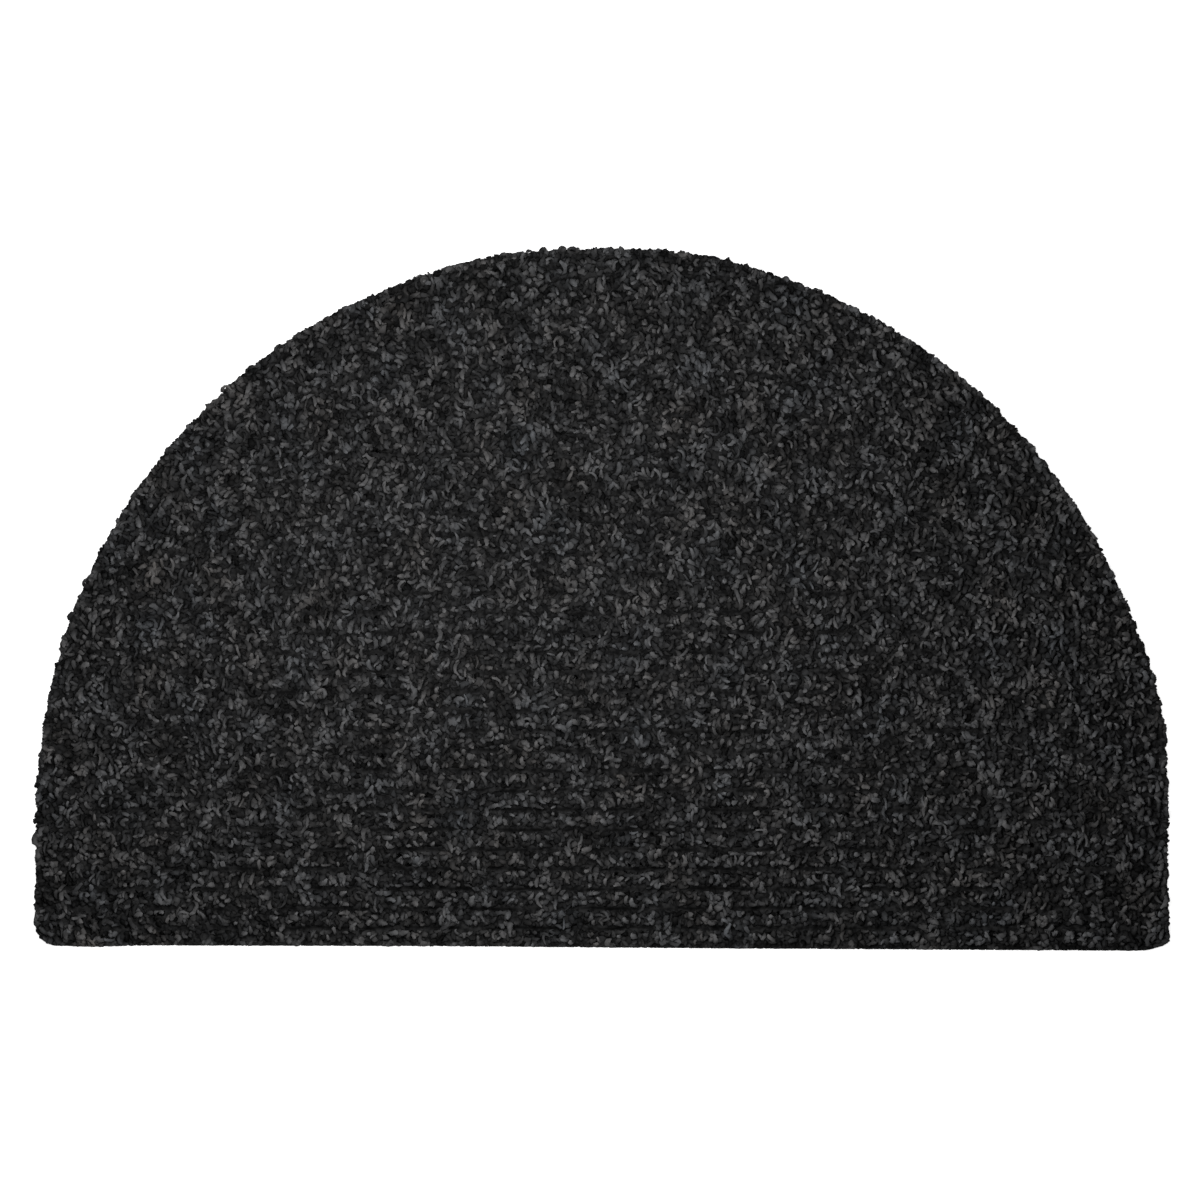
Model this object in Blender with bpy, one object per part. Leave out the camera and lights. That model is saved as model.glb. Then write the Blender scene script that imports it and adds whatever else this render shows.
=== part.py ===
"""Half round doormat: one cut piece of tufted pile cloth with a coated back, lying flat.

Metres, +Z up. The straight front edge faces -Y and the half round points to +Y. The origin is on
the floor, under the middle of the mat's box. The mat is one piece of cloth, so it is one solid:
a flat back, a cut cloth edge, a rounded pile rim, and a pile top with its low ribs.
"""

import math

import bmesh
import bpy
from mathutils import Vector, noise

# Outline, as cut
MAT_WIDTH = 0.650
SIDE_LENGTH = 0.076
LEFT_CORNER_RADIUS = 0.0085
RIGHT_CORNER_RADIUS = 0.0035
FRONT_SKEW = 0.0011

# Thickness
CLOTH_THICKNESS = 0.002
MAT_HEIGHT = 0.009

# Pile ribs: each is a pair of tuft rows that runs along X
RIB_COUNT = 35.5
GROOVE_DEPTH = 0.0013
GROOVE_OPEN_MEAN = 0.7
GROOVE_OPEN_SPREAD = 0.5
RIB_END_NOTCH = 0.0013
RIB_WANDER = 0.0005
WANDER_SPACING = 0.12

# Unevenness of the pile: lumps are longer along X than along Y by the stretch
LUMP_DEPTH = 0.0006
LUMP_SPACING = 0.022
LUMP_STRETCH = 2
GROOVE_STRETCH = 3
RIM_RIPPLE = 0.0006
RIPPLE_SPACING = 0.012

# A layer of the noise for each use, so that no two follow each other
GROOVE_LAYER = 5.3
LUMP_LAYER = 1.7
RIPPLE_LAYER = 8.1
WANDER_LAYER = 3.9

# Mesh fineness
COLUMNS = 22
LINES_PER_RIB = 3
CORNER_LINE_ANGLES = (30, 60, 90)
APEX_HALF_WIDTHS = (0.060, 0.036, 0.014)
LEAST_LINE_GAP = 0.0014
SHARP_ANGLE = 50

# The rim, from the top's edge down to the floor
RIM_STEPS = (
    # out: distance out from the top's edge, height: above the floor, ripple: share of the unevenness
    {"out": 0.0017, "height": 0.0075, "ripple": 0.7},
    {"out": 0.0025, "height": 0.0050, "ripple": 1.0},
    {"out": 0.0015, "height": CLOTH_THICKNESS, "ripple": 0.0},
    {"out": 0.0015, "height": 0.0, "ripple": 0.0},
)

# Worked out from the sizes above
ARC_RADIUS = MAT_WIDTH / 2
MAT_DEPTH = SIDE_LENGTH + ARC_RADIUS
FRONT_Y = -MAT_DEPTH / 2
ARC_CENTRE_Y = FRONT_Y + SIDE_LENGTH
RIB_PITCH = MAT_DEPTH / RIB_COUNT
RIM_REACH = max(step["out"] for step in RIM_STEPS)
TOP_RADIUS = ARC_RADIUS - RIM_REACH
TOP_FRONT_Y = FRONT_Y + RIM_REACH

PILE_COLOUR = (0.022, 0.022, 0.023, 1.0)
PILE_ROUGHNESS = 0.95


def clear_scene():
    """Removes every object, so that the file can be run again."""
    for thing in list(bpy.data.objects):
        bpy.data.objects.remove(thing)


def named_collection(name):
    """A new collection in the scene."""
    collection = bpy.data.collections.new(name)
    bpy.context.scene.collection.children.link(collection)
    return collection


def pile_material():
    """Charcoal cut pile, dull and without metal."""
    material = bpy.data.materials.new("charcoal_pile")
    material.use_nodes = True
    shader = material.node_tree.nodes["Principled BSDF"]
    shader.inputs["Base Color"].default_value = PILE_COLOUR
    shader.inputs["Roughness"].default_value = PILE_ROUGHNESS
    shader.inputs["Metallic"].default_value = 0.0
    return material


def corner_radius(x):
    """The radius of the front corner on this side."""
    return LEFT_CORNER_RADIUS if x < 0 else RIGHT_CORNER_RADIUS


def top_reach(y, side):
    """How far the pile's top reaches from the centreline at this y, to side -1 or 1."""
    if y > ARC_CENTRE_Y:
        return math.sqrt(max(TOP_RADIUS**2 - (y - ARC_CENTRE_Y) ** 2, 0.0))
    corner = corner_radius(side) - RIM_REACH
    below = max(TOP_FRONT_Y + corner - y, 0.0)
    return TOP_RADIUS - corner + math.sqrt(max(corner**2 - below**2, 0.0))


def outward(x, y):
    """The level direction square to the outline and out of the mat, near its edge."""
    if y > ARC_CENTRE_Y:
        return Vector((x, y - ARC_CENTRE_Y, 0.0)).normalized()
    side = -1.0 if x < 0 else 1.0
    radius = corner_radius(x)
    from_corner = Vector((x - side * (ARC_RADIUS - radius), y - FRONT_Y - radius, 0.0))
    if from_corner.y >= 0:
        return Vector((side, 0.0, 0.0))
    if side * from_corner.x <= 0:
        return Vector((0.0, -1.0, 0.0))
    return from_corner.normalized()


def groove(y):
    """0 on a rib and 1 in the groove between two ribs."""
    turn = 2 * math.pi * (y - FRONT_Y) / RIB_PITCH
    return max(math.cos(turn), 0.0)


def uneven(x, y, spacing, layer):
    """Smooth noise from about -1 to 1, with lumps this far apart."""
    return noise.noise(Vector((x / spacing, y / spacing, layer)))


def pile_top(x, y):
    """Height of the pile: ribs with grooves of uneven depth, and soft lumps over both."""
    groove_noise = uneven(x, GROOVE_STRETCH * y, LUMP_SPACING, GROOVE_LAYER)
    open_share = GROOVE_OPEN_MEAN + GROOVE_OPEN_SPREAD * groove_noise
    lump = 0.5 + 0.5 * uneven(x, LUMP_STRETCH * y, LUMP_SPACING, LUMP_LAYER)
    return MAT_HEIGHT - GROOVE_DEPTH * open_share * groove(y) - LUMP_DEPTH * lump


def pile_lines():
    """The y of each mesh line: round the corners, along grooves and ribs, and near the apex."""
    widest_corner = max(LEFT_CORNER_RADIUS, RIGHT_CORNER_RADIUS) - RIM_REACH
    lines = [TOP_FRONT_Y]
    for angle in CORNER_LINE_ANGLES:
        lines.append(TOP_FRONT_Y + widest_corner * (1 - math.cos(math.radians(angle))))
    near_apex = [
        ARC_CENTRE_Y + math.sqrt(TOP_RADIUS**2 - half_width**2)
        for half_width in APEX_HALF_WIDTHS
    ]
    step = RIB_PITCH / LINES_PER_RIB
    for index in range(int(MAT_DEPTH / step)):
        y = FRONT_Y + index * step
        after_corner = y - lines[-1] > LEAST_LINE_GAP
        before_apex = near_apex[0] - y > LEAST_LINE_GAP
        if after_corner and before_apex:
            lines.append(y)
    return lines + near_apex


def top_point(across, y):
    """A point of the pile's top: across is -1 at the left outline and 1 at the right."""
    left, right = top_reach(y, -1), top_reach(y, 1)
    x = -left + (across + 1) / 2 * (left + right)
    return Vector((x, y, pile_top(x, y)))


def rim_point(x, y, step):
    """A point of one rim step, drawn in a little where a groove ends and by soft ripples."""
    way = outward(x, y)
    notch = RIB_END_NOTCH * groove(y) * abs(way.x)
    ripple = RIM_RIPPLE * (0.5 + 0.5 * uneven(x, y, RIPPLE_SPACING, RIPPLE_LAYER))
    out = step["out"] - step["ripple"] * (notch + ripple)
    return Vector((x + way.x * out, y + way.y * out, step["height"]))


def add_rim(mesh):
    """Extrudes the top's edge through the rim's steps, and closes the back with one flat face."""
    edges = [edge for edge in mesh.edges if edge.is_boundary]
    top_edge = {vert: (vert.co.x, vert.co.y) for edge in edges for vert in edge.verts}
    for step in RIM_STEPS:
        by_place = {tuple(vert.co): place for vert, place in top_edge.items()}
        made = bmesh.ops.extrude_edge_only(mesh, edges=edges)["geom"]
        edges = [item for item in made if isinstance(item, bmesh.types.BMEdge)]
        new_verts = [item for item in made if isinstance(item, bmesh.types.BMVert)]
        top_edge = {vert: by_place[tuple(vert.co)] for vert in new_verts}
        for vert, (x, y) in top_edge.items():
            vert.co = rim_point(x, y, step)
        edges = [edge for edge in edges if edge.is_boundary]
    bmesh.ops.contextual_create(mesh, geom=edges)


def warp(point):
    """The cut front edge is a little out of square, and the ribs wander as they cross the mat."""
    from_front = max(0.0, 1 - (point.y - FRONT_Y) / RIB_PITCH)
    skew = -FRONT_SKEW * point.x / ARC_RADIUS * from_front
    inner = max(0.0, 1 - (point.x / ARC_RADIUS) ** 2) * (1 - from_front)
    to_apex = min(1.0, max(0.0, (MAT_DEPTH / 2 - point.y) / RIB_PITCH))
    wander_noise = uneven(point.x, point.y, WANDER_SPACING, WANDER_LAYER)
    wander = RIB_WANDER * wander_noise * inner * to_apex
    return Vector((point.x, point.y + skew + wander, point.z))


def centre_on_floor(mesh):
    """Moves the mat so that the origin is under the middle of its box."""
    xs = [vert.co.x for vert in mesh.verts]
    ys = [vert.co.y for vert in mesh.verts]
    middle = Vector(((min(xs) + max(xs)) / 2, (min(ys) + max(ys)) / 2, 0.0))
    bmesh.ops.translate(mesh, verts=mesh.verts, vec=-middle)


def build_mat(collection):
    """The mat's solid: a grid laid to the outline for the top, then the rim and the back."""
    lines = pile_lines()
    mesh = bmesh.new()
    bmesh.ops.create_grid(mesh, x_segments=COLUMNS, y_segments=len(lines) - 1, size=1.0)
    for vert in mesh.verts:
        line = round((vert.co.y + 1) / 2 * (len(lines) - 1))
        vert.co = top_point(vert.co.x, lines[line])
    add_rim(mesh)
    for vert in mesh.verts:
        vert.co = warp(vert.co)
    centre_on_floor(mesh)
    bmesh.ops.recalc_face_normals(mesh, faces=mesh.faces)
    data = bpy.data.meshes.new("mat")
    mesh.to_mesh(data)
    mesh.free()
    data.shade_smooth()
    data.set_sharp_from_angle(angle=math.radians(SHARP_ANGLE))
    data.materials.append(pile_material())
    mat = bpy.data.objects.new("mat", data)
    collection.objects.link(mat)
    return mat


def main():
    clear_scene()
    build_mat(named_collection("half_round_doormat"))


main()
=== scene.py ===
"""Half round doormat of charcoal cut pile, lying flat and seen from straight above.

The cloth that the yarn is tufted into is one closed sheet. On it stand some 26,000 yarn ends, each a
short curled tube, in rows that run along X. Metres, +Z up, and the straight front edge faces -Y.
"""

import math

import bpy
import numpy as np
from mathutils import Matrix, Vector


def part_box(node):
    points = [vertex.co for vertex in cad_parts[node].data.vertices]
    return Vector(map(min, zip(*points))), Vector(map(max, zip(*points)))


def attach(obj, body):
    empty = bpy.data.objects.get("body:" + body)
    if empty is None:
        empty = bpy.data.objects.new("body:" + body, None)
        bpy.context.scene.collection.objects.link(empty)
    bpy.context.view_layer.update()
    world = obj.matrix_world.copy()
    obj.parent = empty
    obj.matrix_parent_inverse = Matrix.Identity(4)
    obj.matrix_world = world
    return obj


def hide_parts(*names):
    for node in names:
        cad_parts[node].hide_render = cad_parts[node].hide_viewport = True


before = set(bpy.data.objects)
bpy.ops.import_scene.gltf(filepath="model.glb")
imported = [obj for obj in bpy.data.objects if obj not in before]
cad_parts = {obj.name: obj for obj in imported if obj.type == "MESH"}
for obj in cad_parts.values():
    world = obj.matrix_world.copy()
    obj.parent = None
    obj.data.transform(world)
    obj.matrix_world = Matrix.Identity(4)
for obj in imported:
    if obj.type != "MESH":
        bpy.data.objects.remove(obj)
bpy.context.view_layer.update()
MAT_LOW, MAT_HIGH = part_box("mat")

# The cut outline. The pile stands over the cut by the pile reach
MAT_WIDTH = 0.650
PILE_REACH = 0.00075
ARC_RADIUS = MAT_WIDTH / 2 + PILE_REACH
FRONT_Y = MAT_LOW[1]
BACK_Y = MAT_HIGH[1]
MAT_DEPTH = BACK_Y - FRONT_Y
ARC_CENTRE_Y = BACK_Y - MAT_WIDTH / 2
LEFT_CORNER_RADIUS = 0.0125
RIGHT_CORNER_RADIUS = 0.0042
FRONT_SKEW = 0.0018

# Where the knife strayed from a true half circle
ARC_WOBBLES = (
    # at: degrees from +X, out: metres, width: degrees
    {"at": 6.0, "out": 0.0005, "width": 12.0},
    {"at": 12.0, "out": 0.0020, "width": 5.0},
    {"at": 27.0, "out": -0.0003, "width": 4.0},
    {"at": 78.0, "out": 0.0013, "width": 5.0},
    {"at": 102.0, "out": 0.0014, "width": 5.0},
    {"at": 123.0, "out": 0.0008, "width": 12.0},
    {"at": 150.0, "out": -0.0003, "width": 12.0},
    {"at": 171.0, "out": -0.0012, "width": 10.0},
)

# Where the knife strayed from a straight front edge
FRONT_WOBBLES = (
    # at: metres along X, out: metres, width: metres
    {"at": -0.294, "out": 0.0010, "width": 0.022},
    {"at": -0.090, "out": -0.0004, "width": 0.090},
    {"at": 0.326, "out": -0.0030, "width": 0.009},
)

# The cloth
CLOTH_THICKNESS = 0.002
CLOTH_INSET = 0.0012
CLOTH_EDGE_ROUND = 0.0004
CLOTH_RAYS = 300
CLOTH_RINGS = 10
CLOTH_MIDDLE_Y = -0.03

# The rows of tufts: two rows make a rib, and a groove parts the ribs
RIB_COUNT = 35.5
RIB_PITCH = MAT_DEPTH / RIB_COUNT
ROW_PITCH = RIB_PITCH / 2
ROW_JITTER = 0.0050
GROOVE_CLEAR = 0.0010
GROOVE_YARN_SHARE = 0.9
GROOVE_SOFT_WIDTH = 0.0010
GROOVE_FADES_AT_RIM = (0.002, 0.006)
GROOVE_DEPTH = 0.0026
# How much the yarn beside an open groove is darkened: painted shade
GROOVE_PAINTED_SHADE = 0.90
SHUT_GROOVE_SHARE = 0.2

# What opens a groove along its length: its own patches and the way toward the front, less an even
# amount and the way toward the sides. It is shut below the first level and open over the second
GROOVE_PATCHES = {"spacing": 0.030, "strength": 1.3, "seed": 11}
GROOVE_PATCH_SHIFT = 0.05
OPEN_TOWARD_FRONT = 2.0
SHUT_EVENLY = 0.3
SHUT_TOWARD_SIDES = 1.1
OPENING_LEVELS = (0.75, 1.40)

# The pile's edge: cut flush at the front, scalloped further back, and notched where a groove
# meets it, by an uneven share of the deepest notch
FRONT_STAND_OUT = 0.00008
ARC_STAND_OUT = 0.0008
FACING_FRONT = -0.7
FLUSH_FRONT = (0.004, 0.030)
FRONT_INSET_SHARE = 0.2
SCALLOPS = {"spacing": 0.009, "strength": 0.0015, "seed": 13}
NOTCH_DEEPEST = 0.0015
NOTCH_SHARE = 0.65
NOTCH_PATCHES = {"spacing": 0.012, "strength": 0.45, "seed": 12}

# Two lots of yarn ends: long ones that lie over on top, and short ones that stand between them.
# step, rim_step: from end to end along a row and round the rim
# radius, reach: half the thickness, and the way from root to tip seen from above
# low, level: how far below the pile's top an end may stop, and how soon it lies level
# flare: how much thicker an end gets toward its tip
# tone, tone_spread: how light the lot is, and how much its ends differ
# patch_share, painted_depth_shade: how far it follows the tone patches, and its painted shade low down
# groove_spread: how far from a groove it is lower and darker by painted shade
# stray_share: how many of the ends round the rim stand out
# places, sizes, painted_light_along: the rings along an end, with their shares of its thickness and
# tone
LONG_YARN = {
    "name": "long_yarn",
    "pieces": 4,
    "seed": 650,
    "step": 0.0027,
    "rim_step": 0.0045,
    "radius": (0.00080, 0.00172),
    "reach": (0.0014, 0.0080),
    "low": (0.0, 0.0030),
    "level": (1.6, 4.0),
    "flare": (-0.4, 0.6),
    "tone": 0.0214,
    "tone_spread": 0.26,
    "patch_share": 0.8,
    "painted_depth_shade": 0.7,
    "groove_spread": 0.0020,
    "stray_share": 0.10,
    "sides": 4,
    "places": np.array([0.0, 0.22, 0.44, 0.64, 0.83, 1.0]),
    "sizes": np.array([0.60, 0.95, 1.05, 1.05, 0.95, 0.50]),
    # painted shade toward the root, and a painted highlight at the very tip
    "painted_light_along": np.array([0.20, 0.42, 0.68, 0.90, 1.12, 1.50]),
}
SHORT_YARN = {
    "name": "short_yarn",
    "pieces": 2,
    "seed": 401,
    "step": 0.0037,
    "rim_step": 0.0016,
    "radius": (0.00190, 0.00270),
    "reach": (0.0006, 0.0046),
    "low": (0.0024, 0.0044),
    "level": (1.5, 2.2),
    "flare": (0.0, 0.0),
    # darker than the long lot: painted shade down between the long ends
    "tone": 0.0132,
    "tone_spread": 0.25,
    "patch_share": 1.0,
    "painted_depth_shade": 0.4,
    "groove_spread": 0.0020,
    "stray_share": 0.0,
    "sides": 4,
    "places": np.array([0.0, 0.45, 0.80, 1.0]),
    "sizes": np.array([0.70, 1.00, 1.00, 0.60]),
    # painted shade toward the root
    "painted_light_along": np.array([0.40, 0.75, 1.00, 1.00]),
}

# How the yarn ends stand and lie over
PILE_TOP = MAT_HIGH[2]
ROOT_HEIGHT = CLOTH_THICKNESS - 0.0004
LOWEST_TOP = CLOTH_THICKNESS + 0.0002
BURIED_BELOW = 0.0012
BURIED_DEPTH = 0.0010
MARGIN_SHARE = 0.8
LUMP_HEIGHT = 0.0010
LEAN_ALONG_ROWS = 0.75
LEAN_POWER = 1.3
CURL_SPREAD = 1.1
DROOP = 0.12
DROOP_POWER = 5

# The section of a yarn end: its shares of the half thickness, and the turns it makes on its way.
# Its level side follows the way from root to tip by a small share, for where the end is upright
SPAN_SHARE = 0.15
WIDE_SHARE = 1.18
THICK_SHARE = 0.82
TWIST_TURNS = 0.4
FLARE_PLACE = 0.6

# The yarn ends that line the cut edge, and the strays among them
RIM_RAYS = 4000
RIM_INSET = 0.0018
RIM_INWARD = 0.0012
RIM_REACH_SHARE = 0.3
RIM_PUSH = 0.0012
RIM_DROP = 0.0020
RIM_FLARE = -0.5
STRAY_PUSH = 0.0030
STRAY_MARGIN = (-0.0006, 0.0004)

# Yarn colour, as reflected light. Neighbours are alike, in patches of three sizes
TONE_LOWEST = 0.0020
TONE_HIGHEST = 0.041
# Painted shade toward the cut edge: the share of tone left at the edge, and where it fades in
RIM_PAINTED_SHADE_SHARE = 0.65
RIM_PAINTED_SHADE_FADES = (0.0010, 0.0050)
TONE_PATCHES = (
    {"spacing": 0.006, "strength": 1.10, "seed": 21},
    {"spacing": 0.014, "strength": 0.88, "seed": 22},
    {"spacing": 0.034, "strength": 0.48, "seed": 25},
)
TONE_WAVES = 24
WARMTH_SPREAD = 0.007
WARMTH_PATCHES = {"spacing": 0.04, "strength": 0.03, "seed": 24}
BLUE_SHARE = 1.02

# The twist in the yarn, by the millimetre, and what it adds to the relief and to the painted shade
PLY_COUNT = 2.0
PLY_TURNS = 0.32
FIBRES_PER_PLY = 5.0
FIBRE_STEPS = 0.7
FIBRE_RELIEF = 0.55
YARN_SHADE = 0.56
PLY_PAINTED_SHADE = 0.22
# The fibres' share is partly painted shade where their relief is low and partly their own mottle
FIBRE_SHADE = 0.66

# The cloth's weave, pebbles and blotches, by the metre, and its colours as reflected light
WEAVE_WAVE = 3900.0
WEAVE_RELIEF = 0.35
PEBBLES = 900.0
BLOTCHES = 340.0
BLOTCH_LEVELS = (0.38, 0.64)
CLOTH_DARK = (0.0030, 0.0030, 0.0031, 1)
CLOTH_LIGHT = (0.0120, 0.0120, 0.0122, 1)

# The dashes of painted shade on the cloth along the grooves: their noise by the metre along and
# across the rows, how they come out of it, and how they fade
DASHES_ALONG = 60.0
DASHES_ACROSS = 110.0
DASH_CONTRAST = 6.0
DASH_LEVEL = -2.1
DASH_WAVER = 2.4
DASH_NARROWNESS = 4.0
DASH_SHADE = 0.9
DASH_FADES_BACK = 0.9
DASH_FADES_SIDEWAYS = 0.8

# The maps: the caps in the yarn map, and a yarn end's strip and two caps in its own cell
CAP_MAP_SIZE = 0.16
STRIP_CELL_SIZE = (0.92, 0.78)
STRIP_CELL_CORNER = (0.04, 0.03)
CAP_CELL_SIZE = (0.15, 0.06)
ROOT_CAP_PLACE = (0.25, 0.91)
TIP_CAP_PLACE = (0.75, 0.91)

# The view: how wide the photo and the mat in it are, and where the mat's middle is, in pixels
PHOTO_SIDE_PX = 1200
MAT_WIDTH_PX = 1133.0
MAT_MIDDLE_PX = (601.0, 598.0)
METRES_PER_PX = MAT_WIDTH / MAT_WIDTH_PX
LENS = 0.100
SENSOR = 0.036

# The studio
FLOOR_SIZE = 60.0
FLOOR_HEIGHT = -0.0002
FLOOR_GLOW = 0.6
WORLD_LIGHT = 0.57
KEY_PLACE = (-0.06, 0.01, 0.54)
KEY_SIZE = 0.30
KEY_POWER = 6.4


def soft_noise(x, y, spacing, seed, waves=12):
    """Smooth unevenness from about -1 to 1: a sum of plane waves in random directions, each of a
    length near the spacing and with a random phase, over the root of half their number."""
    rng = np.random.default_rng(seed)
    angle = rng.uniform(0, 2 * np.pi, waves)
    length = spacing * rng.uniform(0.7, 1.6, waves)
    phase = rng.uniform(0, 2 * np.pi, waves)
    along = x[..., None] * np.cos(angle) + y[..., None] * np.sin(angle)
    return np.sin(2 * np.pi * along / length + phase).sum(-1) / math.sqrt(2 * waves)


def patchwork(x, y, patches, waves=12):
    """The unevenness of one kind of patches: soft noise times their strength."""
    return patches["strength"] * soft_noise(x, y, patches["spacing"], patches["seed"], waves)


def smooth_step(value, low, high):
    """0 below low and 1 above high, with a soft S between: 3 t squared less 2 t cubed."""
    t = np.clip((value - low) / (high - low), 0.0, 1.0)
    return t * t * (3 - 2 * t)


def behind_front(y):
    """0 along the front edge, where the pile is cut flush, and 1 further back."""
    return smooth_step(y - FRONT_Y, *FLUSH_FRONT)


def stray_of_knife(wobbles, place):
    """How far the knife strayed outward at a place: the sum of the wobbles, each a bell curve."""
    return sum(each["out"] * np.exp(-(((place - each["at"]) / each["width"]) ** 2)) for each in wobbles)


def outside(x, y):
    """How far a point lies outside the cut outline, below 0 inside. Over the arc's centre it is the
    distance from that centre, less the radius and the knife's wobbles. Below the centre it is the
    distance to a straight-sided box with rounded corners, whose front edge is out of square."""
    angle = np.degrees(np.arctan2(y - ARC_CENTRE_Y, x))
    angle = np.where(y < ARC_CENTRE_Y, np.where(x < 0, 180.0, 0.0), angle)
    radius = ARC_RADIUS + stray_of_knife(ARC_WOBBLES, angle)
    front = FRONT_Y - FRONT_SKEW * x / ARC_RADIUS - stray_of_knife(FRONT_WOBBLES, x)
    arc = np.hypot(x, np.maximum(y - ARC_CENTRE_Y, 0.0)) - radius
    corner = np.where(x < 0, LEFT_CORNER_RADIUS, RIGHT_CORNER_RADIUS)
    over_side = np.abs(x) - radius + corner
    over_front = front - y + corner
    box = np.hypot(np.maximum(over_side, 0.0), np.maximum(over_front, 0.0))
    box = box + np.minimum(np.maximum(over_side, over_front), 0.0) - corner
    return np.where(y > ARC_CENTRE_Y, np.maximum(arc, over_front - corner), np.maximum(box, arc))


def outward(x, y):
    """The level direction out of the mat: the slope of the distance outside, brought to length 1."""
    step = 0.0005
    across = outside(x + step, y) - outside(x - step, y)
    up = outside(x, y + step) - outside(x, y - step)
    size = np.maximum(np.hypot(across, up), 1e-9)
    return across / size, up / size


def groove_place(y):
    """How far a point lies from the nearest groove between two ribs, along +Y."""
    turns = (y - FRONT_Y) / RIB_PITCH
    return (turns - np.round(turns)) * RIB_PITCH


def groove_opening(x, y):
    """How far a groove is open, 0 to 1: patches that are long in X, more open near the front and,
    by the square of X, near the middle."""
    groove = np.round((y - FRONT_Y) / RIB_PITCH)
    patches = patchwork(x, groove * GROOVE_PATCH_SHIFT, GROOVE_PATCHES)
    toward_front = 1 - (y - FRONT_Y) / MAT_DEPTH
    sideways = (x / ARC_RADIUS) ** 2
    opening = patches + OPEN_TOWARD_FRONT * toward_front - SHUT_EVENLY - SHUT_TOWARD_SIDES * sideways
    return smooth_step(opening, *OPENING_LEVELS)


def beside_groove(lot, x, y):
    """1 in an open groove and 0 at the middle of a rib: a bell curve of the way to the groove, as
    wide as suits the lot, and a fifth as strong where the groove is shut."""
    share = SHUT_GROOVE_SHARE + (1 - SHUT_GROOVE_SHARE) * groove_opening(x, y)
    return share * np.exp(-((groove_place(y) / lot["groove_spread"]) ** 2))


def pile_edge(x, y):
    """Metres outside the pile's edge: the outline, notched where a groove meets it from the side,
    by the squared cosine of the way across the ribs, and unevenly scalloped behind the front."""
    way_x, _ = outward(x, y)
    notch = np.clip(np.cos(2 * np.pi * (y - FRONT_Y) / RIB_PITCH), 0.0, 1.0) ** 2
    share = NOTCH_SHARE + patchwork(x, y, NOTCH_PATCHES)
    scallop = patchwork(x, y, SCALLOPS) * behind_front(y)
    return outside(x, y) + NOTCH_DEEPEST * notch * share * np.abs(way_x) + scallop


def outline_points(inset, rays):
    """Points round the outline, this far inside it, and a fifth as far at the front edge, where the
    pile is cut flush: along each ray from a point in the middle, the place where the distance
    outside changes sign, found by halving an interval 30 times."""
    angle = np.linspace(0, 2 * np.pi, rays, endpoint=False)
    near, far = np.zeros(rays), np.full(rays, 2 * ARC_RADIUS)
    for _ in range(30):
        middle = (near + far) / 2
        x, y = middle * np.cos(angle), CLOTH_MIDDLE_Y + middle * np.sin(angle)
        share = FRONT_INSET_SHARE + (1 - FRONT_INSET_SHARE) * behind_front(y)
        out = outside(x, y) + inset * share > 0
        near, far = np.where(out, near, middle), np.where(out, middle, far)
    return near * np.cos(angle), CLOTH_MIDDLE_Y + near * np.sin(angle)


def mesh_of_quads(name, points, quads):
    """A mesh of four-sided faces from whole arrays."""
    mesh = bpy.data.meshes.new(name)
    mesh.vertices.add(len(points))
    mesh.vertices.foreach_set("co", points.astype(np.float32).ravel())
    mesh.loops.add(quads.size)
    mesh.loops.foreach_set("vertex_index", quads.astype(np.int32).ravel())
    mesh.polygons.add(len(quads))
    mesh.polygons.foreach_set("loop_start", np.arange(0, quads.size, 4, dtype=np.int32))
    mesh.update(calc_edges=True)
    mesh.shade_smooth()
    return mesh


def put_in_scene(name, mesh, material):
    """An object at the origin, riding on the mat's only body."""
    mesh.materials.append(material)
    piece = bpy.data.objects.new(name, mesh)
    bpy.context.scene.collection.objects.link(piece)
    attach(piece, "root")
    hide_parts("mat")
    return piece


def ground_cloth(material):
    """The tufted cloth with its coated back, as a closed sheet. Its section runs from the middle of
    the top out to the edge, down round the edge and back to the middle below: each step is a share
    of the way to the outline, an inset from it and a height. The section is carried round the
    outline, and one point closes each middle."""
    shares = np.linspace(0, 1, CLOTH_RINGS + 1)[1:]
    flat = np.ones(CLOTH_RINGS)
    share = np.concatenate([shares, [1, 1], shares[::-1]])
    inset = np.concatenate([flat * CLOTH_EDGE_ROUND, [0, 0], flat * CLOTH_EDGE_ROUND]) + CLOTH_INSET
    edge_heights = [CLOTH_THICKNESS - CLOTH_EDGE_ROUND, CLOTH_EDGE_ROUND]
    height = np.concatenate([flat * CLOTH_THICKNESS, edge_heights, flat * 0.0])
    rings = []
    for ring_share, ring_inset, ring_height in zip(share, inset, height):
        x, y = outline_points(ring_inset, CLOTH_RAYS)
        y = CLOTH_MIDDLE_Y + (y - CLOTH_MIDDLE_Y) * ring_share
        rings.append(np.stack([x * ring_share, y, np.full(CLOTH_RAYS, ring_height)], 1))
    middles = [[0, CLOTH_MIDDLE_Y, CLOTH_THICKNESS], [0, CLOTH_MIDDLE_Y, 0]]
    points = np.concatenate(rings + [np.array(middles)])
    here = np.arange(CLOTH_RAYS)
    after = (here + 1) % CLOTH_RAYS
    ring = np.arange(len(rings) - 1)[:, None] * CLOTH_RAYS
    inner_edge = [ring + here, ring + CLOTH_RAYS + here]
    quads = np.stack([*inner_edge, ring + CLOTH_RAYS + after, ring + after], -1).reshape(-1, 4)
    last = (len(rings) - 1) * CLOTH_RAYS
    top, below = len(points) - 2, len(points) - 1
    faces = quads.tolist()
    faces += [(top, int(a), int(b)) for a, b in zip(here, after)]
    faces += [(below, int(last + b), int(last + a)) for a, b in zip(here, after)]
    mesh = bpy.data.meshes.new("ground_cloth")
    mesh.from_pydata(points.tolist(), [], faces)
    mesh.shade_smooth()
    mesh.set_sharp_from_angle(angle=math.radians(50))
    return put_in_scene("ground_cloth", mesh, material)


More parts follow.
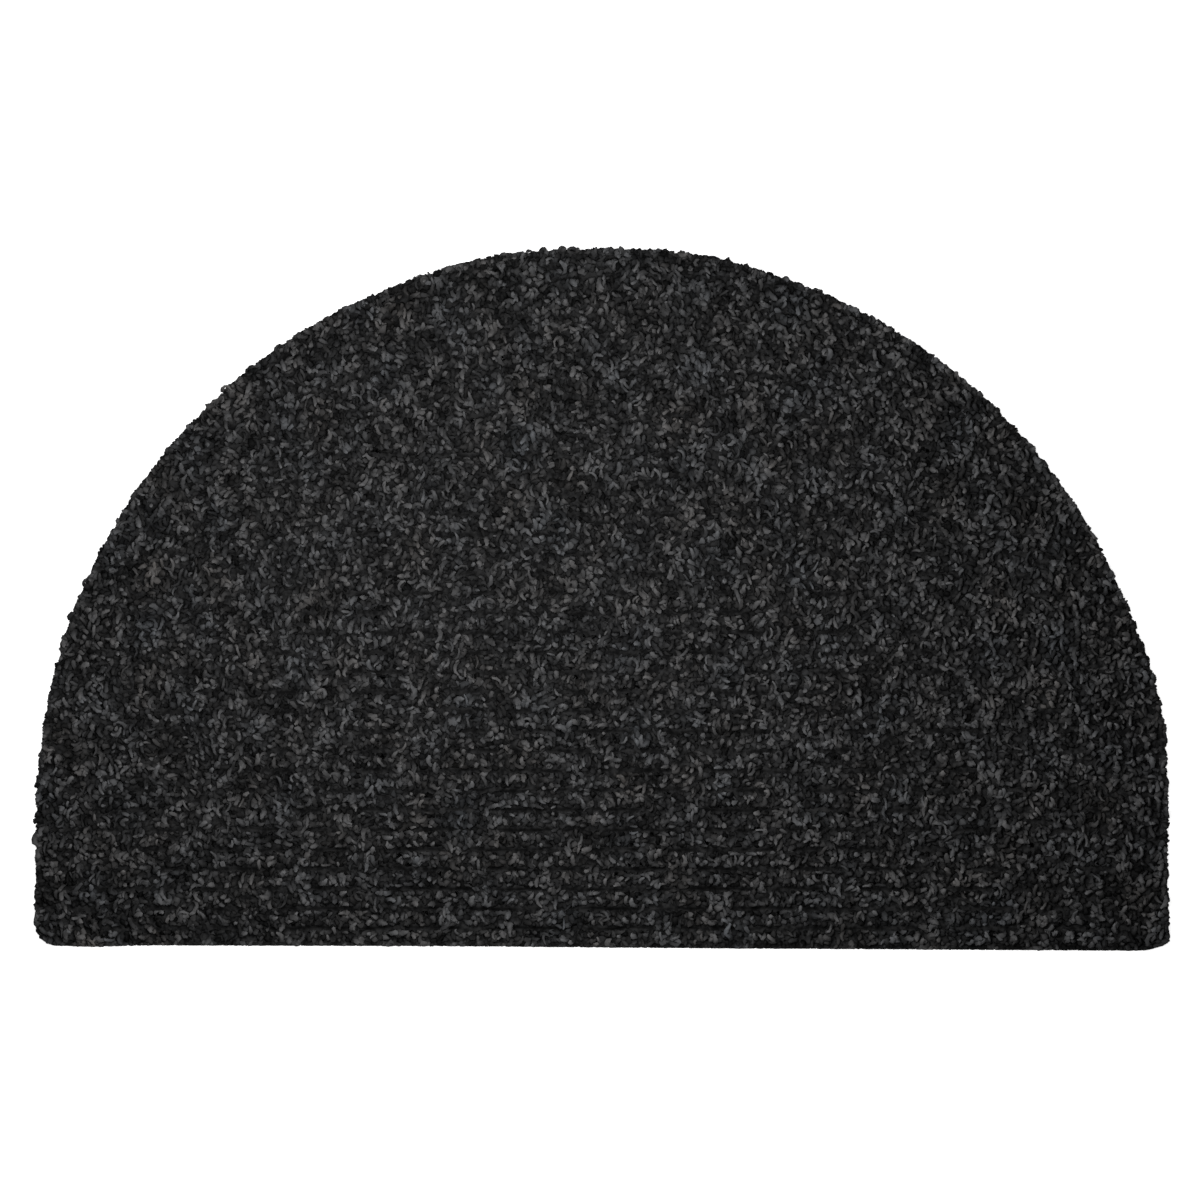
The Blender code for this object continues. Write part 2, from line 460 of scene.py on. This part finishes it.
def row_roots(lot, rng):
    """Where the yarn ends of the rows leave the cloth: rows at an even pitch in Y, ends at an even
    step along each row, both shaken a little, kept where the cloth is."""
    rows = FRONT_Y + ROW_PITCH * (np.arange(int(2 * RIB_COUNT)) + 0.5)
    across = np.arange(-ARC_RADIUS, ARC_RADIUS, lot["step"])
    x, y = np.meshgrid(across, rows)
    x = x + rng.uniform(-0.5, 0.5, x.shape) * lot["step"]
    x = x + rng.uniform(0, 1, (len(rows), 1)) * lot["step"]
    y = y + rng.uniform(-0.5, 0.5, y.shape) * ROW_JITTER
    inside = pile_edge(x, y) < -lot["radius"][0]
    return x[inside], y[inside]


def rim_roots(lot, rng):
    """Where the yarn ends of the cut edge leave the cloth: evenly round the outline."""
    x, y = outline_points(RIM_INSET, RIM_RAYS)
    length = np.hypot(np.diff(x, append=x[0]), np.diff(y, append=y[0]))
    along = np.concatenate([[0], np.cumsum(length)])
    places = np.arange(0, along[-1], lot["rim_step"])
    x = np.interp(places, along, np.append(x, x[0]))
    y = np.interp(places, along, np.append(y, y[0]))
    way_x, way_y = outward(x, y)
    inward = rng.uniform(0, RIM_INWARD, len(x))
    return x - way_x * inward, y - way_y * inward


def hold_inside(tip_x, tip_y, margin):
    """Moves tips that would come nearer than the margin to the pile's edge back from it."""
    over = np.maximum(pile_edge(tip_x, tip_y) + margin, 0.0)
    way_x, way_y = outward(tip_x, tip_y)
    return tip_x - way_x * over, tip_y - way_y * over


def comb_apart(lot, ends, x, y):
    """Keeps the middle lines on their own side of the groove beside their root, as far as the
    groove is open there. The least way to the groove is a yarn's half thickness and a little more.
    From a soft width beyond that, the way fades to the least one as an exponential. The rim is
    left as it is."""
    side = np.sign(groove_place(ends["y"]))[:, None]
    groove_y = (ends["y"] - groove_place(ends["y"]))[:, None]
    least = GROOVE_YARN_SHARE * ends["radius"][:, None] * lot["sizes"] + GROOVE_CLEAR
    over = side * (y - groove_y) - least - GROOVE_SOFT_WIDTH
    faded = GROOVE_SOFT_WIDTH * (np.exp(np.minimum(over, 0.0) / GROOVE_SOFT_WIDTH) - 1)
    within = smooth_step(-outside(x, y), *GROOVE_FADES_AT_RIM)
    push = np.where(over < 0, faded - over, 0.0) * within
    return y + side * push * groove_opening(x, groove_y + 0 * y)


def tone_patches(x, y):
    """Soft light and dark patches of three sizes, as a logarithm of the tone."""
    return sum(patchwork(x, y, patches, TONE_WAVES) for patches in TONE_PATCHES)


def yarn_tones(lot, rng, x, y, depth):
    """How light each yarn end is: a bell curve in its logarithm, over soft patches, with painted shade
    the deeper it lies, beside a groove and toward the cut edge."""
    # a random spread, less painted shade for the ends that lie deeper
    spread = rng.normal(0, lot["tone_spread"], len(x)) - lot["painted_depth_shade"] * (depth - 0.5)
    tone = lot["tone"] * np.exp(spread + lot["patch_share"] * tone_patches(x, y))
    # painted shade beside a groove
    tone = tone * (1 - GROOVE_PAINTED_SHADE * beside_groove(lot, x, y))
    # painted shade toward the cut edge
    within = smooth_step(-outside(x, y), *RIM_PAINTED_SHADE_FADES)
    tone = tone * (RIM_PAINTED_SHADE_SHARE + (1 - RIM_PAINTED_SHADE_SHARE) * within)
    return np.clip(tone, TONE_LOWEST, TONE_HIGHEST)


def yarn_heights(lot, rng, x, y, depth, radius, is_rim):
    """How high the middle line of each yarn end gets: below the pile's top by its half thickness
    and its depth in the lot, less in the dark patches, beside a groove and at the cut edge, but
    never down in the cloth."""
    lumps = LUMP_HEIGHT * np.clip(1 - tone_patches(x, y), 0.0, 2.0)
    at_rim = np.where(is_rim, rng.uniform(0, RIM_DROP, len(x)), 0.0)
    low, high = lot["low"]
    in_groove = GROOVE_DEPTH * beside_groove(lot, x, y)
    below = low + (high - low) * depth + lumps + in_groove + at_rim
    return np.maximum(PILE_TOP - MARGIN_SHARE * radius - below, LOWEST_TOP)


def yarn_ends(lot):
    """All yarn ends of a lot as arrays: root, tip, height, curl, thickness and tone of each. The
    rows come first, then the ends that line the cut edge. A few of those stand out of it."""
    rng = np.random.default_rng(lot["seed"])
    row_x, row_y = row_roots(lot, rng)
    rim_x, rim_y = rim_roots(lot, rng)
    x, y = np.append(row_x, rim_x), np.append(row_y, rim_y)
    count = len(x)
    is_rim = np.arange(count) >= len(row_x)
    stands_out = is_rim & (y > ARC_CENTRE_Y) & (rng.uniform(0, 1, count) < lot["stray_share"])
    angle = rng.uniform(0, 2 * np.pi, count)
    reach = rng.uniform(*lot["reach"], count) * np.where(is_rim, RIM_REACH_SHARE, 1.0)
    way_x, way_y = outward(x, y)
    push = np.where(is_rim, rng.uniform(0.0, RIM_PUSH, count), 0.0)
    push = push + np.where(stands_out, STRAY_PUSH, 0.0)
    tip_x = x + np.cos(angle) * reach * LEAN_ALONG_ROWS + way_x * push
    tip_y = y + np.sin(angle) * reach + way_y * push
    radius = rng.uniform(*lot["radius"], count)
    depth = rng.uniform(0, 1, count)
    margin = np.where(stands_out, rng.uniform(*STRAY_MARGIN, count), MARGIN_SHARE * radius)
    tip_x, tip_y = hold_inside(tip_x, tip_y, margin)
    return {
        "x": x,
        "y": y,
        "tip_x": tip_x,
        "tip_y": tip_y,
        "top": yarn_heights(lot, rng, tip_x, tip_y, depth, radius, is_rim),
        "level": rng.uniform(*lot["level"], count),
        "curl": rng.normal(0, CURL_SPREAD, count),
        "radius": radius,
        "flare": np.where(is_rim, RIM_FLARE, rng.uniform(*lot["flare"], count)),
        "turn": rng.uniform(0, 2 * np.pi, count),
        "tone": yarn_tones(lot, rng, tip_x, tip_y, depth),
        "warmth": rng.normal(0, WARMTH_SPREAD, count) + patchwork(x, y, WARMTH_PATCHES),
        "droop": rng.uniform(0.0, 1.0, count),
        "stands_out": stands_out,
    }


def yarn_paths(lot, ends):
    """The middle line of each yarn end, at the places t of its rings. Level, it goes from root to
    tip by a power of t, turned by the curl as it goes, so that it is a comma seen from above.
    Upwards it rises by 1 less (1 - t) to its own power, and the droop lets the tip sink again, by a
    high power of t."""
    t = lot["places"][None, :]
    span_x = (ends["tip_x"] - ends["x"])[:, None]
    span_y = (ends["tip_y"] - ends["y"])[:, None]
    turn = ends["curl"][:, None] * (t - 1)
    out = t**LEAN_POWER
    x = ends["x"][:, None] + out * (span_x * np.cos(turn) - span_y * np.sin(turn))
    y = ends["y"][:, None] + out * (span_x * np.sin(turn) + span_y * np.cos(turn))
    rise = 1 - (1 - t) ** ends["level"][:, None]
    rise = rise - DROOP * ends["droop"][:, None] * t**DROOP_POWER
    z = ROOT_HEIGHT + (ends["top"][:, None] - ROOT_HEIGHT) * rise
    return np.stack([x, comb_apart(lot, ends, x, y), z], -1)


def cut_flush(ends, points):
    """The knife's cut: what stands out past the pile's edge is pressed back, the more the further
    out it is, so that no point stands out more than the edge's limit. Strays are left."""
    x, y = points[..., 0], points[..., 1]
    out = pile_edge(x, y)
    way_x, way_y = outward(x, y)
    limit = np.where(way_y < FACING_FRONT, FRONT_STAND_OUT, ARC_STAND_OUT)
    pressed = limit * np.tanh(np.maximum(out, 0.0) / limit)
    back = np.maximum(out, 0.0) - pressed
    back = np.where(ends["stands_out"][:, None, None], 0.0, back)
    return np.stack([x - way_x * back, y - way_y * back, points[..., 2]], -1)


def keep_off_floor(points):
    """Presses what would come out under the cloth up into it: from a level in the cloth down, the
    way below that level fades to the buried depth as a hyperbolic tangent."""
    under = np.maximum(BURIED_BELOW - points[..., 2], 0.0)
    height = np.maximum(points[..., 2], BURIED_BELOW) - BURIED_DEPTH * np.tanh(under / BURIED_DEPTH)
    return np.concatenate([points[..., :2], height[..., None]], -1)


def unit(vectors):
    """Vectors brought to length 1."""
    return vectors / np.maximum(np.linalg.norm(vectors, axis=-1, keepdims=True), 1e-9)


def yarn_tubes(lot, ends, path):
    """The points of each yarn end: round its middle line, an ellipse that is wider than thick and
    that turns as it goes, like two twisted plies. The ellipse lies square to the line."""
    ahead = unit(np.gradient(path, axis=1))
    level = np.stack([-ahead[..., 1], ahead[..., 0], np.zeros(ahead.shape[:2])], -1)
    span = np.stack([-(ends["tip_y"] - ends["y"]), ends["tip_x"] - ends["x"], 0 * ends["x"]], -1)
    level = unit(level + SPAN_SHARE * unit(span)[:, None, :])
    level = unit(level - ahead * (level * ahead).sum(-1, keepdims=True))
    upright = np.cross(level, ahead)
    corner = 2 * np.pi * np.arange(lot["sides"]) / lot["sides"]
    spin = ends["turn"][:, None] + 2 * np.pi * TWIST_TURNS * lot["places"]
    flare = 1 + ends["flare"][:, None] * (lot["places"] - FLARE_PLACE)
    radius = ends["radius"][:, None] * lot["sizes"] * flare
    wide = WIDE_SHARE * radius[..., None] * np.cos(corner)
    thick = THICK_SHARE * radius[..., None] * np.sin(corner)
    cos_spin, sin_spin = np.cos(spin)[..., None], np.sin(spin)[..., None]
    sideways = wide * cos_spin - thick * sin_spin
    upwards = wide * sin_spin + thick * cos_spin
    off = sideways[..., None] * level[:, :, None, :] + upwards[..., None] * upright[:, :, None, :]
    return keep_off_floor(cut_flush(ends, path[:, :, None, :] + off))


def cap_faces(sides):
    """A ring's corners laid as faces of four corners that fan out from the first."""
    first = np.arange(1, sides - 2, 2)
    return np.stack([0 * first, first, first + 1, first + 2], -1)


def yarn_quads(lot, count):
    """The faces of each yarn end: a strip round each stretch between two rings, and a cap on each
    end, so that the tube is closed."""
    rings, sides = len(lot["places"]), lot["sides"]
    side = np.arange(sides)
    after = (side + 1) % sides
    ring = np.arange(rings - 1)[:, None] * sides
    strip = np.stack([ring + side, ring + after, ring + sides + after, ring + sides + side], -1)
    cap = cap_faces(sides)
    one = np.concatenate([strip.reshape(-1, 4), cap[:, ::-1], (rings - 1) * sides + cap])
    return (np.arange(count)[:, None, None] * rings * sides + one[None]).reshape(-1, 4)


def cap_corners(sides):
    """The corners of a cap's faces on a circle of radius 1, for the maps."""
    turn = 2 * np.pi * cap_faces(sides) / sides
    return np.stack([np.cos(turn), np.sin(turn)], -1)


def yarn_map(lot, path):
    """The yarn map: U goes once round the yarn, and V is the way along it in millimetres."""
    count, rings, sides = len(path), len(lot["places"]), lot["sides"]
    step = np.linalg.norm(np.diff(path, axis=1), axis=-1) * 1000
    along = np.concatenate([np.zeros((count, 1)), np.cumsum(step, 1)], 1)
    low = np.broadcast_to(along[:, :-1, None], (count, rings - 1, sides))
    high = np.broadcast_to(along[:, 1:, None], low.shape)
    left = np.broadcast_to(np.arange(sides) / sides, low.shape)
    right = left + 1 / sides
    strip = np.stack([left, low, right, low, right, high, left, high], -1)
    cap = CAP_MAP_SIZE * cap_corners(sides)
    root_cap = np.broadcast_to(cap, (count, *cap.shape))
    tip_cap = root_cap + np.stack([0 * along[:, -1], along[:, -1]], -1)[:, None, None, :]
    return np.concatenate([strip.reshape(count, -1, 4, 2), root_cap, tip_cap], 1).reshape(-1, 2)


def cell_map(lot, count):
    """A map in which each yarn end has a cell of its own: its strip is unrolled in the cell, with
    the two caps above it."""
    rings, sides = len(lot["places"]), lot["sides"]
    across = math.ceil(math.sqrt(count))
    place = np.stack([np.arange(count) % across, np.arange(count) // across], -1) / across
    side, ring = np.meshgrid(np.arange(sides) / sides, np.arange(rings - 1) / (rings - 1))
    steps = np.array([[0, 0], [1, 0], [1, 1], [0, 1]])
    size = np.array([1 / sides, 1 / (rings - 1)])
    strip = np.stack([side, ring], -1).reshape(-1, 1, 2) + steps * size
    strip = strip * STRIP_CELL_SIZE + STRIP_CELL_CORNER
    cap = cap_corners(sides) * CAP_CELL_SIZE
    one = np.concatenate([strip, cap[:, ::-1] + ROOT_CAP_PLACE, cap + TIP_CAP_PLACE]) / across
    return (place[:, None, None, :] + one[None]).reshape(-1, 2)


def yarn_colours(lot, ends):
    """The colour at each point: the yarn end's own tone, a little warm or cool, times painted light
    along it: a painted highlight near the tip and painted shade down to the root, by the lot's shares."""
    # painted light along each end: painted shade toward the root, a painted highlight at the tip
    shares = np.broadcast_to(lot["painted_light_along"][:, None], (len(lot["painted_light_along"]), lot["sides"]))
    tone = ends["tone"][:, None, None] * shares
    warmth = ends["warmth"][:, None, None]
    parts = [tone * (1 + warmth), tone, tone * (BLUE_SHARE - warmth), np.ones_like(tone)]
    return np.stack(parts, -1).reshape(-1, 4)


def pile_piece(name, lot, ends, material):
    """One band of a lot: its yarn ends in one mesh, with both maps and the colours."""
    count = len(ends["x"])
    path = yarn_paths(lot, ends)
    points = yarn_tubes(lot, ends, path)
    mesh = mesh_of_quads(name, points.reshape(-1, 3), yarn_quads(lot, count))
    yarn_uv = mesh.uv_layers.new(name="yarn")
    yarn_uv.uv.foreach_set("vector", yarn_map(lot, path).astype(np.float32).ravel())
    cell_uv = mesh.uv_layers.new(name="OFBake")
    cell_uv.uv.foreach_set("vector", cell_map(lot, count).astype(np.float32).ravel())
    colours = mesh.color_attributes.new("yarn_colour", "FLOAT_COLOR", "POINT")
    colours.data.foreach_set("color", yarn_colours(lot, ends).astype(np.float32).ravel())
    return put_in_scene(name, mesh, material)


def pile(lot, material):
    """All of a lot, in bands from the front edge to the back of the half round."""
    ends = yarn_ends(lot)
    order = np.argsort(ends["y"], kind="stable")
    made = []
    for number, band in enumerate(np.array_split(order, lot["pieces"]), start=1):
        part = {key: values[band] for key, values in ends.items()}
        made.append(pile_piece(f"{lot['name']}_{number}", lot, part, material))
    return made


def new_material(name):
    """A material with only its shader and output."""
    material = bpy.data.materials.new(name)
    material.use_nodes = True
    return material, material.node_tree.nodes, material.node_tree.links


def maths(nodes, links, operation, first, second=None, third=None):
    """A Math node. Each input is a number or another node's output."""
    node = nodes.new("ShaderNodeMath")
    node.operation = operation
    for socket, value in zip(node.inputs, (first, second, third)):
        if isinstance(value, (int, float)):
            socket.default_value = value
        elif value is not None:
            links.new(value, socket)
    return node.outputs[0]


def yarn_material():
    """Twisted charcoal yarn: each end has its own tone, the plies wind round it, and fine fibres
    follow the plies. Painted shade darkens the ply grooves, and the fibres where their relief is low."""
    material, nodes, links = new_material("charcoal_yarn")
    shader = nodes["Principled BSDF"]
    shader.inputs["Diffuse Roughness"].default_value = 0.35
    shader.inputs["Roughness"].default_value = 0.72
    shader.inputs["Specular IOR Level"].default_value = 0.03
    yarn = nodes.new("ShaderNodeUVMap")
    yarn.uv_map = "yarn"
    split = nodes.new("ShaderNodeSeparateXYZ")
    links.new(yarn.outputs["UV"], split.inputs[0])
    ply_turn = maths(nodes, links, "MULTIPLY", split.outputs["Y"], PLY_TURNS)
    ply_phase = maths(nodes, links, "MULTIPLY_ADD", split.outputs["X"], PLY_COUNT, ply_turn)
    ply_wave = maths(nodes, links, "SINE", maths(nodes, links, "MULTIPLY", ply_phase, 2 * math.pi))
    ply = maths(nodes, links, "MULTIPLY_ADD", ply_wave, 0.5, 0.5)
    fibre_place = nodes.new("ShaderNodeCombineXYZ")
    fibre_round = maths(nodes, links, "MULTIPLY", ply_phase, FIBRES_PER_PLY)
    fibre_along = maths(nodes, links, "MULTIPLY", split.outputs["Y"], FIBRE_STEPS)
    links.new(fibre_round, fibre_place.inputs["X"])
    links.new(fibre_along, fibre_place.inputs["Y"])
    fibre = nodes.new("ShaderNodeTexNoise")
    fibre.inputs["Scale"].default_value = 1.0
    fibre.inputs["Detail"].default_value = 3.0
    links.new(fibre_place.outputs[0], fibre.inputs["Vector"])
    relief = maths(nodes, links, "MULTIPLY_ADD", fibre.outputs["Fac"], FIBRE_RELIEF, ply)
    bump = nodes.new("ShaderNodeBump")
    bump.inputs["Strength"].default_value = 0.6
    bump.inputs["Distance"].default_value = 0.0002
    links.new(relief, bump.inputs["Height"])
    links.new(bump.outputs["Normal"], shader.inputs["Normal"])
    # painted shade in the ply grooves; the fibres' share is partly painted shade and partly mottle
    shade = maths(nodes, links, "MULTIPLY_ADD", ply, PLY_PAINTED_SHADE, YARN_SHADE)
    shade = maths(nodes, links, "MULTIPLY_ADD", fibre.outputs["Fac"], FIBRE_SHADE, shade)
    colour = nodes.new("ShaderNodeAttribute")
    colour.attribute_name = "yarn_colour"
    tint = nodes.new("ShaderNodeVectorMath")
    tint.operation = "SCALE"
    links.new(colour.outputs["Color"], tint.inputs[0])
    links.new(shade, tint.inputs["Scale"])
    links.new(tint.outputs[0], shader.inputs["Base Color"])
    return material


def cloth_material():
    """The cloth: near black, woven above, with a plain pebbled coating on the underside."""
    material, nodes, links = new_material("coated_cloth")
    shader = nodes["Principled BSDF"]
    shader.inputs["Roughness"].default_value = 0.9
    shader.inputs["Specular IOR Level"].default_value = 0.03
    place = nodes.new("ShaderNodeTexCoord")
    split = nodes.new("ShaderNodeSeparateXYZ")
    links.new(place.outputs["Object"], split.inputs[0])
    threads = []
    for way in ("X", "Y"):
        turn = maths(nodes, links, "MULTIPLY", split.outputs[way], WEAVE_WAVE)
        threads.append(maths(nodes, links, "SINE", turn))
    weave = maths(nodes, links, "MULTIPLY", *threads)
    pebbles = nodes.new("ShaderNodeTexVoronoi")
    pebbles.inputs["Scale"].default_value = PEBBLES
    links.new(place.outputs["Object"], pebbles.inputs["Vector"])
    blotches = nodes.new("ShaderNodeTexNoise")
    blotches.inputs["Scale"].default_value = BLOTCHES
    blotches.inputs["Detail"].default_value = 3.0
    links.new(place.outputs["Object"], blotches.inputs["Vector"])
    relief = maths(nodes, links, "MULTIPLY_ADD", weave, WEAVE_RELIEF, pebbles.outputs["Distance"])
    bump = nodes.new("ShaderNodeBump")
    bump.inputs["Strength"].default_value = 0.5
    bump.inputs["Distance"].default_value = 0.0002
    links.new(relief, bump.inputs["Height"])
    links.new(bump.outputs["Normal"], shader.inputs["Normal"])
    ramp = nodes.new("ShaderNodeValToRGB")
    for stop, level, colour in zip(ramp.color_ramp.elements, BLOTCH_LEVELS, (CLOTH_DARK, CLOTH_LIGHT)):
        stop.position = level
        stop.color = colour
    links.new(blotches.outputs["Fac"], ramp.inputs["Fac"])
    tint = nodes.new("ShaderNodeVectorMath")
    tint.operation = "SCALE"
    links.new(ramp.outputs["Color"], tint.inputs[0])
    # painted shade along the grooves
    links.new(groove_shade(nodes, links, split), tint.inputs["Scale"])
    links.new(tint.outputs[0], shader.inputs["Base Color"])
    return material


def groove_shade(nodes, links, place):
    """How light the cloth is, 0.1 to 1, by painted shade: darkest along the grooves, where a power of
    the cosine of the way across the ribs is 1. Noise that is stretched along X breaks the grooves into
    dashes and lets them waver. They fade evenly toward the back and by the square of X toward the
    sides."""
    stretched = nodes.new("ShaderNodeCombineXYZ")
    for way, scale in (("X", DASHES_ALONG), ("Y", DASHES_ACROSS)):
        links.new(maths(nodes, links, "MULTIPLY", place.outputs[way], scale), stretched.inputs[way])
    noise = nodes.new("ShaderNodeTexNoise")
    noise.inputs["Scale"].default_value = 1.0
    noise.inputs["Detail"].default_value = 2.0
    links.new(stretched.outputs[0], noise.inputs["Vector"])
    parts = nodes.new("ShaderNodeSeparateColor")
    links.new(noise.outputs["Color"], parts.inputs[0])
    rib_turn = 2 * math.pi / RIB_PITCH
    phase = maths(nodes, links, "MULTIPLY_ADD", place.outputs["Y"], rib_turn, -FRONT_Y * rib_turn)
    phase = maths(nodes, links, "MULTIPLY_ADD", parts.outputs["Green"], DASH_WAVER, phase)
    phase = maths(nodes, links, "SUBTRACT", phase, DASH_WAVER / 2)
    across = maths(nodes, links, "MAXIMUM", maths(nodes, links, "COSINE", phase), 0.0)
    across = maths(nodes, links, "POWER", across, DASH_NARROWNESS)
    dashes = maths(nodes, links, "MULTIPLY_ADD", parts.outputs["Red"], DASH_CONTRAST, DASH_LEVEL)
    dashes.node.use_clamp = True
    fading = -DASH_FADES_BACK / MAT_DEPTH
    at_middle = 1 - FRONT_Y * fading
    toward_front = maths(nodes, links, "MULTIPLY_ADD", place.outputs["Y"], fading, at_middle)
    sideways = maths(nodes, links, "MULTIPLY", place.outputs["X"], place.outputs["X"])
    sideways_fading = -DASH_FADES_SIDEWAYS / ARC_RADIUS**2
    near_middle = maths(nodes, links, "MULTIPLY_ADD", sideways, sideways_fading, 1.0)
    dashes = maths(nodes, links, "MULTIPLY", dashes, toward_front)
    dashes = maths(nodes, links, "MULTIPLY", dashes, near_middle)
    dark = maths(nodes, links, "MULTIPLY", across, dashes)
    return maths(nodes, links, "MULTIPLY_ADD", dark, -DASH_SHADE, 1.0)


def floor_material():
    """A plain white light table, which glows a little, so that the mat casts no shadow on it."""
    material, nodes, _ = new_material("pale_floor")
    shader = nodes["Principled BSDF"]
    shader.inputs["Base Color"].default_value = (0.9, 0.9, 0.9, 1)
    shader.inputs["Roughness"].default_value = 0.9
    shader.inputs["Specular IOR Level"].default_value = 0.1
    shader.inputs["Emission Color"].default_value = (1, 1, 1, 1)
    shader.inputs["Emission Strength"].default_value = FLOOR_GLOW
    return material


def floor():
    """A level floor just under the mat."""
    bpy.ops.mesh.primitive_plane_add(size=FLOOR_SIZE, location=(0, 0, FLOOR_HEIGHT))
    plane = bpy.context.object
    plane.name = "floor"
    plane.data.materials.append(floor_material())


def key_light():
    """A square soft light above the left of the mat. It faces straight down and isn't seen."""
    light = bpy.data.lights.new("key", "AREA")
    light.size = KEY_SIZE
    light.energy = KEY_POWER
    lamp = bpy.data.objects.new("key", light)
    bpy.context.scene.collection.objects.link(lamp)
    lamp.location = KEY_PLACE
    lamp.visible_camera = False


def lighting():
    """Even white light all round, and one soft light from above. Colours are shown as they are."""
    world = bpy.data.worlds.new("studio")
    bpy.context.scene.world = world
    world.use_nodes = True
    background = world.node_tree.nodes["Background"]
    background.inputs["Color"].default_value = (1, 1, 1, 1)
    background.inputs["Strength"].default_value = WORLD_LIGHT
    key_light()
    bpy.context.scene.view_settings.view_transform = "Standard"


def camera():
    """Straight above, with the mat as large and as far off the middle as in the photo."""
    data = bpy.data.cameras.new("camera")
    data.lens = LENS * 1000
    data.sensor_width = SENSOR * 1000
    view = bpy.data.objects.new("camera", data)
    bpy.context.scene.collection.objects.link(view)
    away = PHOTO_SIDE_PX * METRES_PER_PX * LENS / SENSOR
    off_x = (PHOTO_SIDE_PX / 2 - MAT_MIDDLE_PX[0]) * METRES_PER_PX
    off_y = (MAT_MIDDLE_PX[1] - PHOTO_SIDE_PX / 2) * METRES_PER_PX
    view.location = (off_x, off_y, away + PILE_TOP / 2)
    bpy.context.scene.camera = view


def main():
    """The whole scene."""
    camera()
    material = yarn_material()
    yarn = pile(LONG_YARN, material) + pile(SHORT_YARN, material)
    cloth = ground_cloth(cloth_material())
    floor()
    lighting()


main()

bpy.context.view_layer.update()
